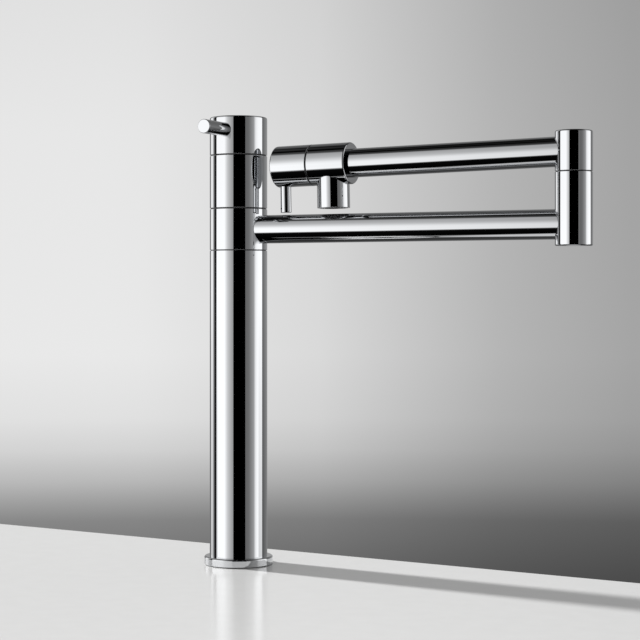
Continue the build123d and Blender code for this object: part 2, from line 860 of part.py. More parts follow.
pieces = {
    "base_flange": base_flange(),
    "base_gasket": base_gasket(),
    "pillar_tube": pillar_tube(),
    "foot_plug": foot_plug(),
    "threaded_shank": threaded_shank(),
    "deck_gasket": deck_gasket(),
    "clamp_washer": clamp_washer(),
    "mounting_nut": mounting_nut(),
    "inlet_tail": inlet_tail(),
    "riser_tube": riser_tube(),
    "core_body": core_body(),
    "swivel_seal_lower": swivel_seal(-1),
    "swivel_seal_upper": swivel_seal(1),
    "swivel_glide_lower": swivel_glide(pillar_top, ring_bottom),
    "swivel_glide_upper": swivel_glide(ring_top, body_bottom),
    "upper_body": upper_body(),
    "top_cartridge_seal": top_cartridge_seal(),
    "top_fixed_disc": top_fixed_disc(),
    "top_cartridge_housing": top_cartridge_housing(),
    "top_cartridge_nut": top_cartridge_nut(),
    "top_moving_disc": top_moving_disc(),
    "top_stem": top_stem(),
    "top_handle_cap": top_handle_cap(),
    "top_lever": top_lever(),
    "top_set_screw": top_set_screw(),
    "top_glide_ring": top_glide_ring(),
    "swivel_ring": swivel_ring(),
    "lower_arm_tube": lower_arm_tube(),
    "elbow_lower_sleeve": elbow_lower_sleeve(),
    "elbow_bottom_plug": elbow_bottom_plug(),
    "elbow_thrust_washer": elbow_thrust_washer(),
    "elbow_glide_washer": elbow_glide_washer(),
    "elbow_spindle": elbow_spindle(),
    "elbow_seal_lower": elbow_seal(low_seal),
    "elbow_seal_middle": elbow_seal(middle_seal),
    "elbow_seal_upper": elbow_seal(high_seal),
    "elbow_circlip": elbow_circlip(),
    "elbow_upper_sleeve": elbow_upper_sleeve(),
    "upper_arm_tube": upper_arm_tube(),
    "valve_body": valve_body(),
    "valve_seal": valve_seal(),
    "valve_fixed_disc": valve_fixed_disc(),
    "valve_housing": valve_housing(),
    "valve_gland_nut": valve_gland_nut(),
    "spout_nozzle": spout_nozzle(),
    "aerator_washer": aerator_washer(),
    "aerator_housing": aerator_housing(),
    "aerator_insert": aerator_insert(),
    "aerator_screen": aerator_screen(),
    "end_moving_disc": end_moving_disc(),
    "end_stem": end_stem(),
    "end_handle_cap": end_handle_cap(),
    "end_pin_lever": end_pin_lever(),
    "end_set_screw": end_set_screw(),
    "end_glide_ring": end_glide_ring(),
}

os.makedirs("parts", exist_ok=True)
for name, piece in pieces.items():
    export_step(piece, f"parts/{name}.step")
print(len(pieces), "pieces")
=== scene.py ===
import bpy
import json
import math
from mathutils import Matrix, Vector


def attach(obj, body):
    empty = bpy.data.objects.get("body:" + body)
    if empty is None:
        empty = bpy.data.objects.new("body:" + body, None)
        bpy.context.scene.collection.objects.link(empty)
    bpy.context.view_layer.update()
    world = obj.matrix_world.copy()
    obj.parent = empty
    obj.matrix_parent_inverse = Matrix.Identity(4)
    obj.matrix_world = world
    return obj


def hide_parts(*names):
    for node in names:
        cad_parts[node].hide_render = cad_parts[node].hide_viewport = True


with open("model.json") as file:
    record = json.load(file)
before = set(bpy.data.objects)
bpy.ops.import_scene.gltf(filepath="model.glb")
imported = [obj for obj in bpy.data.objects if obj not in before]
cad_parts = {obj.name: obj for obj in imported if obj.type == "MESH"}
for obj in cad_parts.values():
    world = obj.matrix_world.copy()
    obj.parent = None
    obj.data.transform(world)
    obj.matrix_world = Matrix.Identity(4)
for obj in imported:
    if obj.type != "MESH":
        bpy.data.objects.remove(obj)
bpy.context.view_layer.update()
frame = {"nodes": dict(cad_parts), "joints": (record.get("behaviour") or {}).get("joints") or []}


# Camera
# A long, level lens a little above the tap's middle, turned to the tap's right. The photograph was taken from
# there.

quarter_turn = math.radians(90)
camera_turn = math.radians(26.5)
camera_place = (0.76309, -1.37151, 0.2365)
lens_length = 101.25
sensor_width = 36.0
frame_shift = -0.04375
camera = bpy.data.objects.new("camera", bpy.data.cameras.new("camera"))
camera.location = camera_place
camera.rotation_euler = (quarter_turn, 0, camera_turn)
camera.data.lens = lens_length
camera.data.sensor_width = sensor_width
camera.data.shift_y = frame_shift
bpy.context.scene.collection.objects.link(camera)
bpy.context.scene.camera = camera
bpy.context.scene.view_settings.view_transform = "Standard"


# Studio
# Polished metal shows the room and nothing else, so the room is drawn by direction: a tall white window on
# each side, grey walls between them, a dim ceiling and a dark lower room.

white = 255
world = bpy.data.worlds.new("studio")
bpy.context.scene.world = world
world.use_nodes = True
room = world.node_tree
room.nodes.clear()


def room_sum(operation, *values):
    """A sum in the studio's nodes. Each value is a number or another node's output."""
    node = room.nodes.new("ShaderNodeMath")
    node.operation = operation
    for socket, value in zip(node.inputs, values):
        if isinstance(value, (int, float)):
            socket.default_value = value
        else:
            room.links.new(value, socket)
    return node.outputs[0]


def room_greys(angle, stops):
    """Greys from 0 to 255 at rising angles in degrees, blended between them and read at one angle."""
    lowest, highest = stops[0][0], stops[-1][0]
    node = room.nodes.new("ShaderNodeValToRGB")
    share = room_sum("DIVIDE", room_sum("SUBTRACT", angle, lowest), highest - lowest)
    room.links.new(share, node.inputs[0])
    elements = node.color_ramp.elements
    while len(elements) < len(stops):
        elements.new(0.5)
    for element, (degrees, grey) in zip(elements, stops):
        element.position = (degrees - lowest) / (highest - lowest)
        element.color = (grey / white, grey / white, grey / white, 1)
    return node.outputs[0]


def either(choice, first, second):
    """The first value where the choice is 1 and the second where it is 0."""
    return room_sum("ADD", room_sum("MULTIPLY", first, choice),
                    room_sum("MULTIPLY", second, room_sum("SUBTRACT", 1.0, choice)))


looking = room.nodes.new("ShaderNodeTexCoord").outputs["Generated"]
to_lens = room.nodes.new("ShaderNodeVectorRotate")
to_lens.rotation_type = "Z_AXIS"
to_lens.inputs["Angle"].default_value = quarter_turn - camera_turn
room.links.new(looking, to_lens.inputs["Vector"])
axes = room.nodes.new("ShaderNodeSeparateXYZ")
room.links.new(to_lens.outputs[0], axes.inputs[0])
across, back, up = axes.outputs["Y"], axes.outputs["X"], axes.outputs["Z"]
sideways = room_sum("MULTIPLY", room_sum("ARCTAN2", across, back), math.degrees(1))
upwards = room_sum("MULTIPLY", room_sum("ARCSINE", up), math.degrees(1))

# Round the room, as pairs of degrees from the lens and the grey there. Minus is the camera's left, and 180 is
# behind the tap.
rear_wall_left = [(-180, 150), (-168, 135), (-153, 112), (-145, 115)]
rear_window = [(-139.5, 236), (-127, 238), (-118, 172)]
curtain = [(-110.5, 80), (-104.5, 28), (-97.5, 33)]
left_window = [(-96, 252), (-55.5, 254)]
left_wall = [(-41.5, 198), (-21.5, 150), (-18.6, 145)]
right_wall = [(31, 97), (43.5, 105), (66.5, 152)]
right_window = [(71.5, 205), (76, 234), (87, 250), (111.5, 255)]
rear_wall_right = [(113.2, 97), (133, 121), (180, 150)]
left_side = rear_wall_left + rear_window + curtain + left_window + left_wall
right_side = right_wall + right_window + rear_wall_right
around = room_greys(sideways, left_side + right_side)

# Up and down the room, as pairs of degrees above the lens and the grey there: a ceiling that dims with
# height, a dark floor, and light from right under the tap.
tall_walls = [(0, 245), (10, 231), (17, 208), (24, 189)]
ceiling = [(32, 169), (50.5, 148), (55, 68), (66, 30), (73, 34), (82, 56), (90, 70)]
dark_floor = [(-90, 0), (-31, 16), (-23, 240), (0, 245)]
rear_floor = [(-90, 100), (-60, 115), (-52, 90), (-39, 110), (-12, 180), (0, 245)]
light_below = [(-90, 190), (-68, 180), (-64, 0), (0, 0)]
above = room_greys(upwards, tall_walls + ceiling)
on_lens_side = room_sum("GREATER_THAN", back, 0.0)
below = either(on_lens_side, room_greys(upwards, dark_floor), room_greys(upwards, rear_floor))
fade = either(room_sum("GREATER_THAN", up, 0.0), above, below)
shown = room_sum("MAXIMUM", room_sum("MULTIPLY", around, fade), room_greys(upwards, light_below))
display_curve = 2.2
studio_strength = 1.62
mirrored = room_sum("MULTIPLY", room_sum("POWER", shown, display_curve), studio_strength)

# What the lens sees behind the tap: a light grey wall that darkens towards the worktop and towards the right.
# Past the photograph's own view it fades into a plain grey one.
low_wall = [(-20, 205), (-14, 200), (-9.5, 112), (-7.2, 146), (-6, 200), (-5, 230), (-4, 246)]
wall_heights = low_wall + [(-2, 255), (5, 253), (20, 228)]
wall_widths = [(-180, 216), (-174, 232), (-160, 232), (160, 158), (170, 163), (174, 178), (180, 216)]
wall_ends = [(-180, 255), (-168, 255), (-158, 0), (158, 0), (168, 255), (180, 255)]
wall_edges = [(-20, 0), (-12, 255), (12, 255), (20, 0)]
plain_wall = [(-20, 205), (0, 215), (20, 214)]
wall = room_sum("MULTIPLY", room_greys(upwards, wall_heights), room_greys(sideways, wall_widths))
wall_share = room_sum("MULTIPLY", room_greys(sideways, wall_ends), room_greys(upwards, wall_edges))
behind = room_sum("POWER", either(wall_share, wall, room_greys(upwards, plain_wall)), display_curve)

soft_light = 0.37
ray = room.nodes.new("ShaderNodeLightPath")
other_light = either(ray.outputs["Is Glossy Ray"], mirrored, soft_light)
glow = room.nodes.new("ShaderNodeBackground")
glow.inputs["Color"].default_value = (1, 1, 1, 1)
room.links.new(either(ray.outputs["Is Camera Ray"], behind, other_light), glow.inputs["Strength"])
sky = room.nodes.new("ShaderNodeOutputWorld")
room.links.new(glow.outputs[0], sky.inputs["Surface"])

# One lamp, high on the left, throws the tap's shadow. The lens and the polished metal don't see it.
key_direction = Vector((-0.78, 0.092, 0.62)).normalized()
key_distance = 8.0
key_width = 0.48
key_power = 790
key = bpy.data.objects.new("key_light", bpy.data.lights.new("key_light", "AREA"))
key.data.shape = "DISK"
key.data.size = key_width
key.data.energy = key_power
key.location = key_direction * key_distance
key.rotation_euler = key_direction.to_track_quat("Z", "Y").to_euler()
key.visible_glossy = False
key.visible_camera = False
bpy.context.scene.collection.objects.link(key)


# Black card
# It stands between the lens and the tap and gives the chrome its black bands. Only polished surfaces see it.
# Its ends are given in metres to the lens's right and towards the lens.

card_left = Vector((-0.329, 1.000))
card_right = Vector((0.620, 1.096))
card_bottom = -1.5
card_top = 2.0
lens_right = Vector((math.cos(camera_turn), math.sin(camera_turn), 0))
lens_back = Vector((lens_right.y, -lens_right.x, 0))
vertical = Vector((0, 0, 1))
card_outline = [(card_left, card_bottom), (card_right, card_bottom)]
card_outline += [(card_right, card_top), (card_left, card_top)]
card_corners = [lens_right * end.x + lens_back * end.y + vertical * height for end, height in card_outline]
card_mesh = bpy.data.meshes.new("black_card")
card_mesh.from_pydata(card_corners, [], [(0, 1, 2, 3)])
card = bpy.data.objects.new("black_card", card_mesh)
bpy.context.scene.collection.objects.link(card)
felt = bpy.data.materials.new("black_felt")
felt.use_nodes = True
felt.node_tree.nodes["Principled BSDF"].inputs["Base Color"].default_value = (0, 0, 0, 1)
felt.node_tree.nodes["Principled BSDF"].inputs["Specular IOR Level"].default_value = 0
card.data.materials.append(felt)
card.visible_camera = False
card.visible_diffuse = False
card.visible_shadow = False


# Worktop
# A plain slab of pale stone. The tap stands close to its rear edge, and the shank passes through its hole.
# Its corners are worked out from the gap behind the tap and the turn of the rear edge.

mm = 0.001
worktop_thickness = 30.0
worktop_width = 2200.0
worktop_depth = 1300.0
worktop_hole_radius = 17.5
mirrored_radius = 70.0
rear_gap = 88.0
rear_turn = math.radians(-6.1)


def slab_between(name, rim, hole, bottom, top):
    """A flat slab between an outer and an inner line of as many points, in millimetres."""
    count = len(rim)
    points = [(point + Vector((0, 0, height))) * mm for height in (top, bottom) for point in rim + hole]
    faces = []
    for i in range(count):
        j = (i + 1) % count
        upper = (i, j, j + count, i + count)
        lower = tuple(corner + 2 * count for corner in upper)
        faces += [upper[::-1], lower]
        faces += [(upper[0], upper[1], lower[1], lower[0]), (upper[2], upper[3], lower[3], lower[2])]
    mesh = bpy.data.meshes.new(name)
    mesh.from_pydata(points, [], faces)
    slab = bpy.data.objects.new(name, mesh)
    bpy.context.scene.collection.objects.link(slab)
    return slab


sill = Vector((math.cos(rear_turn), math.sin(rear_turn), 0))
forwards = Vector((sill.y, -sill.x, 0))
rear_ends = [sill * side * worktop_width / 2 - forwards * rear_gap for side in (-1, 1)]
corners = rear_ends + [end + forwards * worktop_depth for end in rear_ends[::-1]]
edge_steps = 16
worktop_rim = [start.lerp(end, step / edge_steps) for start, end in zip(corners, corners[1:] + corners[:1])
               for step in range(edge_steps)]
hole_rim = [point.normalized() * worktop_hole_radius for point in worktop_rim]
worktop = slab_between("worktop", worktop_rim, hole_rim, -worktop_thickness, 0)

stone_light = (0.85, 0.85, 0.845, 1)
stone_dark = (0.80, 0.80, 0.795, 1)
stone_grain = 60
stone_roughness = 0.17
stone_specular = 0.30


def pale_stone():
    """A faintly grained stone. The base ring mirrors the stone round it, and taller pieces the room."""
    finish = bpy.data.materials.new("pale_stone")
    finish.use_nodes = True
    tree = finish.node_tree
    stone, output = tree.nodes["Principled BSDF"], tree.nodes["Material Output"]
    place = tree.nodes.new("ShaderNodeTexCoord")
    grain = tree.nodes.new("ShaderNodeTexNoise")
    grain.inputs["Scale"].default_value = stone_grain
    tones = tree.nodes.new("ShaderNodeValToRGB")
    tones.color_ramp.elements[0].color = stone_dark
    tones.color_ramp.elements[1].color = stone_light
    stone.inputs["Roughness"].default_value = stone_roughness
    stone.inputs["Specular IOR Level"].default_value = stone_specular
    away = tree.nodes.new("ShaderNodeVectorMath")
    away.operation = "LENGTH"
    far = tree.nodes.new("ShaderNodeMath")
    far.operation = "GREATER_THAN"
    far.inputs[1].default_value = mirrored_radius * mm
    ray_kind = tree.nodes.new("ShaderNodeLightPath")
    cleared = tree.nodes.new("ShaderNodeMath")
    cleared.operation = "MULTIPLY"
    clear = tree.nodes.new("ShaderNodeBsdfTransparent")
    mix = tree.nodes.new("ShaderNodeMixShader")
    tree.links.new(place.outputs["Object"], grain.inputs["Vector"])
    tree.links.new(grain.outputs["Fac"], tones.inputs[0])
    tree.links.new(tones.outputs[0], stone.inputs["Base Color"])
    tree.links.new(place.outputs["Object"], away.inputs[0])
    tree.links.new(away.outputs["Value"], far.inputs[0])
    tree.links.new(far.outputs[0], cleared.inputs[0])
    tree.links.new(ray_kind.outputs["Is Glossy Ray"], cleared.inputs[1])
    tree.links.new(cleared.outputs[0], mix.inputs[0])
    tree.links.new(stone.outputs[0], mix.inputs[1])
    tree.links.new(clear.outputs[0], mix.inputs[2])
    tree.links.new(mix.outputs[0], output.inputs["Surface"])
    return finish


worktop.data.materials.append(pale_stone())


# Base flange
# The low chromed ring round the pillar's foot, turned from brass bar and plated, with a counterbore that the
# pillar stands in. It rests on a rubber ring in its underside, which leaves a thin dark gap under its rim.

upright = Matrix.Identity(4)
slip = 0.05
fine_round = 0.4
soft_round = 1.5
gasket_width = 5.0


def span(node, place=upright):
    """How far along a place's Z axis a CAD node starts and ends, in millimetres."""
    heights = [(place.inverted() @ (corner.co / mm)).z for corner in frame["nodes"][node].data.vertices]
    return min(heights), max(heights)


def reach(node, place=upright):
    """The radius round a place's Z axis that a CAD node fills, in millimetres."""
    corners = frame["nodes"][node].data.vertices
    return max((place.inverted() @ (corner.co / mm)).xy.length for corner in corners)


def group(name, inputs, outputs):
    """An empty shader group with named number or colour sockets, and its own input and output nodes."""
    tree = bpy.data.node_groups.new(name, "ShaderNodeTree")
    for label, value in inputs:
        kind = "NodeSocketColor" if isinstance(value, tuple) else "NodeSocketFloat"
        tree.interface.new_socket(name=label, in_out="INPUT", socket_type=kind).default_value = value
    for label, kind in outputs:
        tree.interface.new_socket(name=label, in_out="OUTPUT", socket_type=kind)
    return tree, tree.nodes.new("NodeGroupInput"), tree.nodes.new("NodeGroupOutput")


def cloudy_tone():
    """Slow colour change over a surface, from a light tone to a dark one."""
    tree, given, made = group("cloudy_tone", [
        ("Light", (0.8, 0.8, 0.8, 1)), ("Dark", (0.7, 0.7, 0.7, 1)), ("Patches per metre", 40.0)],
        [("Tone", "NodeSocketColor")])
    place = tree.nodes.new("ShaderNodeTexCoord")
    patches = tree.nodes.new("ShaderNodeTexNoise")
    patches.inputs["Detail"].default_value = 4
    mix = tree.nodes.new("ShaderNodeMix")
    mix.data_type = "RGBA"
    factor, light, dark = mix.inputs["Factor"], mix.inputs[6], mix.inputs[7]
    tree.links.new(place.outputs["Object"], patches.inputs["Vector"])
    tree.links.new(given.outputs["Patches per metre"], patches.inputs["Scale"])
    tree.links.new(patches.outputs["Fac"], factor)
    tree.links.new(given.outputs["Light"], light)
    tree.links.new(given.outputs["Dark"], dark)
    tree.links.new(mix.outputs[2], made.inputs["Tone"])
    return tree


def handling():
    """Faint wiped and fingered patches, as a roughness between two values."""
    tree, given, made = group("handling", [
        ("Cleanest", 0.02), ("Dullest", 0.06), ("Patches per metre", 25.0)],
        [("Roughness", "NodeSocketFloat")])
    place = tree.nodes.new("ShaderNodeTexCoord")
    patches = tree.nodes.new("ShaderNodeTexNoise")
    patches.inputs["Detail"].default_value = 6
    patches.inputs["Roughness"].default_value = 0.65
    spread = tree.nodes.new("ShaderNodeMapRange")
    tree.links.new(place.outputs["Object"], patches.inputs["Vector"])
    tree.links.new(given.outputs["Patches per metre"], patches.inputs["Scale"])
    tree.links.new(patches.outputs["Fac"], spread.inputs["Value"])
    tree.links.new(given.outputs["Cleanest"], spread.inputs["To Min"])
    tree.links.new(given.outputs["Dullest"], spread.inputs["To Max"])
    tree.links.new(spread.outputs[0], made.inputs["Roughness"])
    return tree


def tool_lines():
    """Fine lines that run round or along one axis, as a lathe tool or a buffing wheel leaves them."""
    tree, given, made = group("tool_lines", [
        ("Lines per metre", 4000.0), ("Across", 0.0), ("Along", 1.0)],
        [("Height", "NodeSocketFloat")])
    place = tree.nodes.new("ShaderNodeTexCoord")
    stretch = tree.nodes.new("ShaderNodeCombineXYZ")
    scaled = tree.nodes.new("ShaderNodeVectorMath")
    scaled.operation = "MULTIPLY"
    lines = tree.nodes.new("ShaderNodeTexNoise")
    lines.inputs["Detail"].default_value = 2
    tree.links.new(given.outputs["Across"], stretch.inputs["X"])
    tree.links.new(given.outputs["Across"], stretch.inputs["Y"])
    tree.links.new(given.outputs["Along"], stretch.inputs["Z"])
    tree.links.new(place.outputs["Object"], scaled.inputs[0])
    tree.links.new(stretch.outputs[0], scaled.inputs[1])
    tree.links.new(scaled.outputs[0], lines.inputs["Vector"])
    tree.links.new(given.outputs["Lines per metre"], lines.inputs["Scale"])
    tree.links.new(lines.outputs["Fac"], made.inputs["Height"])
    return tree


tone_group = cloudy_tone()
wear_group = handling()
line_group = tool_lines()


def surface(name, light, dark, cleanest, dullest, metallic, patches, lines, across, along, relief):
    """A finish from the three groups: its tones, how clean or dull it is, and its fine relief in metres."""
    finish = bpy.data.materials.new(name)
    finish.use_nodes = True
    tree = finish.node_tree
    shader = tree.nodes["Principled BSDF"]
    shader.inputs["Metallic"].default_value = metallic
    tone, wear, fine = (tree.nodes.new("ShaderNodeGroup") for _ in range(3))
    tone.node_tree, wear.node_tree, fine.node_tree = tone_group, wear_group, line_group
    tone.inputs["Light"].default_value = (*light, 1)
    tone.inputs["Dark"].default_value = (*dark, 1)
    tone.inputs["Patches per metre"].default_value = patches
    wear.inputs["Cleanest"].default_value = cleanest
    wear.inputs["Dullest"].default_value = dullest
    fine.inputs["Lines per metre"].default_value = lines
    fine.inputs["Across"].default_value = across
    fine.inputs["Along"].default_value = along
    bump = tree.nodes.new("ShaderNodeBump")
    bump.inputs["Distance"].default_value = relief
    tree.links.new(tone.outputs["Tone"], shader.inputs["Base Color"])
    tree.links.new(wear.outputs["Roughness"], shader.inputs["Roughness"])
    tree.links.new(fine.outputs["Height"], bump.inputs["Height"])
    tree.links.new(bump.outputs["Normal"], shader.inputs["Normal"])
    return finish


plated = surface("polished_chrome", light=(0.70, 0.71, 0.725), dark=(0.67, 0.68, 0.695), cleanest=0.004,
                 dullest=0.018, metallic=1.0, patches=18.0, lines=300.0, across=1.0, along=1.0, relief=2e-7)


def rounded(corners):
    """The stations of a section whose corners are (radius, height, rounding), with the two normals at each.

    The section runs anticlockwise, so that metal lies to its left. A height may be a function of the radius
    and the angle, where a piece is cut to sit on another.
    """
    bends = 6
    flat = [Vector((r, z(r, 0) if callable(z) else z)) for r, z, *_ in corners]
    open_ended = flat[0].x == 0 and flat[-1].x == 0
    stations = []
    for i, (r, z, *rest) in enumerate(corners):
        ahead = [(flat[i] - flat[i - 1]).normalized(), (flat[(i + 1) % len(flat)] - flat[i]).normalized()]
        before, after = (Vector((d.y, -d.x)) for d in ahead)
        if open_ended and i == 0:
            before = after
        if open_ended and i == len(flat) - 1:
            after = before
        if not rest:
            stations.append((r, z, before, after))
            continue
        size = rest[0]
        turn = before.angle_signed(after)
        centre = flat[i] - ahead[0] * size * abs(math.tan(turn / 2)) - before * size
        for step in range(bends + 1):
            bend = -turn * step / bends
            normal = Vector((before.x * math.cos(bend) - before.y * math.sin(bend),
                             before.x * math.sin(bend) + before.y * math.cos(bend)))
            stations.append((*(centre + normal * size), normal, normal))
    return stations, open_ended


def swung(normal, angle):
    """A normal of the section, carried round the axis."""
    return Vector((normal.x * math.cos(angle), normal.x * math.sin(angle), normal.y))


def drilled(points, rows, heights, wall_radius, hole):
    """A blind hole through a straight round wall between two rows of points, which adds its own points.

    The hole is (angle, height, radius, distance from the axis to its floor). Gives its faces, their normals
    and the columns of the wall that it takes away.
    """
    axis, height, radius, floor = hole
    margin = 1.0
    count = 40
    steps = len(rows[0])
    out = Vector((math.cos(axis), math.sin(axis), 0))
    side = Vector((-out.y, out.x, 0))
    nearest = round(axis / math.tau * steps)
    half = math.ceil((radius + margin) / wall_radius / math.tau * steps)
    columns = [(nearest + k) % steps for k in range(-half, half + 1)]

    rim, seat = [], []
    for k in range(count):
        turn = math.tau * k / count
        aside, lift = radius * math.cos(turn), radius * math.sin(turn)
        at = axis + math.asin(aside / wall_radius)
        rim.append((turn, len(points), at))
        points.append(Vector((wall_radius * math.cos(at), wall_radius * math.sin(at), height + lift)))
        seat.append(len(points))
        points.append(out * floor + side * aside + vertical * (height + lift))
    floor_centre = len(points)
    points.append(out * floor + vertical * height)

    edge = []
    for row, level, order in ((rows[0], heights[0], columns), (rows[1], heights[1], columns[::-1])):
        for column in order:
            at = math.tau * column / steps
            offset = (at - axis + math.pi) % math.tau - math.pi
            edge.append((math.atan2(level - height, offset * wall_radius) % math.tau, row[column], at))
    edge.sort()

    faces, normals = [], []
    i = j = 0
    while i < len(edge) or j < count:
        here, near = edge[i % len(edge)], rim[j % count]
        next_edge = edge[(i + 1) % len(edge)][0] + math.tau * ((i + 1) // len(edge))
        next_rim = math.tau * (j + 1) / count
        if j >= count or (i < len(edge) and next_edge <= next_rim):
            ahead = edge[(i + 1) % len(edge)]
            i += 1
        else:
            ahead = rim[(j + 1) % count]
            j += 1
        faces.append((here[1], ahead[1], near[1]))
        normals += [swung(Vector((1, 0)), corner[2]) for corner in (here, ahead, near)]
    for k in range(count):
        m = (k + 1) % count
        inwards = [-(side * math.cos(rim[x][0]) + vertical * math.sin(rim[x][0])) for x in (k, m)]
        faces.append((rim[k][1], rim[m][1], seat[m], seat[k]))
        normals += [inwards[0], inwards[1], inwards[1], inwards[0]]
        faces.append((seat[k], seat[m], floor_centre))
        normals += [out] * 3
    return faces, normals, set(columns[:-1])


def turned(name, corners, place, holes=(), steps=144):
    """A piece turned on a place's Z axis from a section, with round holes through its widest wall."""
    stations, open_ended = rounded(corners)
    points, rows = [], []
    for r, z, *_ in stations:
        rows.append([])
        for step in range(steps if r else 1):
            angle = math.tau * step / steps
            height = z(r, angle) if callable(z) else z
            rows[-1].append(len(points))
            points.append(Vector((r * math.cos(angle), r * math.sin(angle), height)))

    faces, normals, left_out, pierced = [], [], set(), -1
    if holes:
        widest = max(station[0] for station in stations)
        outside = widest - slip / 2
        straight = [i for i in range(len(stations) - 1) if min(stations[i][0], stations[i + 1][0]) > outside]
        pierced = max(straight, key=lambda i: stations[i + 1][1] - stations[i][1])
        heights = [stations[pierced][1], stations[pierced + 1][1]]
        for hole in holes:
            pair = rows[pierced:pierced + 2]
            more, their_normals, columns = drilled(points, pair, heights, widest, hole)
            faces += more
            normals += their_normals
            left_out |= columns

    for i in range(len(stations) - 1 if open_ended else len(stations)):
        j = (i + 1) % len(stations)
        here, there = stations[i][3], stations[j][2]
        for step in range(steps):
            if i == pierced and step in left_out:
                continue
            ahead = (step + 1) % steps
            ring = [(rows[i], step, here), (rows[i], ahead, here)]
            ring += [(rows[j], ahead, there), (rows[j], step, there)]
            if len(rows[i]) == 1:
                ring.pop(1)
            if len(rows[j]) == 1:
                ring.pop(-1)
            faces.append(tuple(row[k if len(row) > 1 else 0] for row, k, _ in ring))
            normals += [swung(normal, math.tau * k / steps) for _, k, normal in ring]
    return smooth(name, points, faces, normals, place)


def smooth(name, points, faces, normals, place):
    """A mesh piece from points in millimetres, put in place, with the true normal at each face's corner."""
    mesh = bpy.data.meshes.new(name)
    mesh.from_pydata([place @ point * mm for point in points], [], faces)
    spin = place.to_3x3()
    mesh.polygons.foreach_set("use_smooth", [True] * len(mesh.polygons))
    mesh.normals_split_custom_set([(spin @ normal).normalized() for normal in normals])
    mesh.update()
    piece = bpy.data.objects.new(name, mesh)
    bpy.context.scene.collection.objects.link(piece)
    return piece


def fitted(piece, body, slot, finish, *stood_for):
    """Gives a piece its finish, hangs it on its body and hides the CAD nodes that it stands for."""
    piece.data.materials.clear()
    piece.data.materials.append(finish)
    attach(piece, body)
    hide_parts(*stood_for)


def kept(finish, *nodes):
    """Gives CAD nodes that keep their shape a finish."""
    for name in nodes:
        piece = frame["nodes"][name]
        piece.data.materials.clear()
        piece.data.materials.append(finish)


flange_radius = reach("base_flange")
flange_bottom, flange_top = span("base_flange")
column_radius = reach("pillar_tube")
column_bottom, column_top = span("pillar_tube")
gasket_radius = reach("base_gasket") + slip
gasket_top = span("base_gasket")[1]
shank_radius = reach("threaded_shank")
shank_clearance = 0.1
flange_hole = shank_radius + shank_clearance
flange = turned("base_flange_ring", [
    (flange_hole, flange_bottom), (gasket_radius - gasket_width, flange_bottom),
    (gasket_radius - gasket_width, gasket_top), (gasket_radius, gasket_top), (gasket_radius, flange_bottom),
    (flange_radius, flange_bottom, fine_round), (flange_radius, flange_top, soft_round),
    (column_radius + slip, flange_top), (column_radius + slip, column_bottom),
    (flange_hole, column_bottom)], upright)
fitted(flange, "pillar", "chrome", plated, "base_flange")


# Fixing through the worktop
# A brass shank screws into the plug in the pillar's foot, and a nut, a steel washer and a rubber washer clamp
# the worktop from below. A flat rubber ring under the flange keeps water out.

rubber = surface("black_rubber", light=(0.030, 0.030, 0.031), dark=(0.018, 0.018, 0.019), cleanest=0.55,
                 dullest=0.75, metallic=0.0, patches=120.0, lines=900.0, across=1.0, along=1.0, relief=3e-5)
steel = surface("stainless_steel", light=(0.60, 0.60, 0.61), dark=(0.50, 0.50, 0.51), cleanest=0.22,
                dullest=0.38, metallic=1.0, patches=90.0, lines=2500.0, across=1.0, along=0.05, relief=4e-6)
brass = surface("turned_brass", light=(0.80, 0.62, 0.30), dark=(0.70, 0.51, 0.22), cleanest=0.16,
                dullest=0.34, metallic=1.0, patches=70.0, lines=2500.0, across=0.02, along=1.0, relief=6e-6)


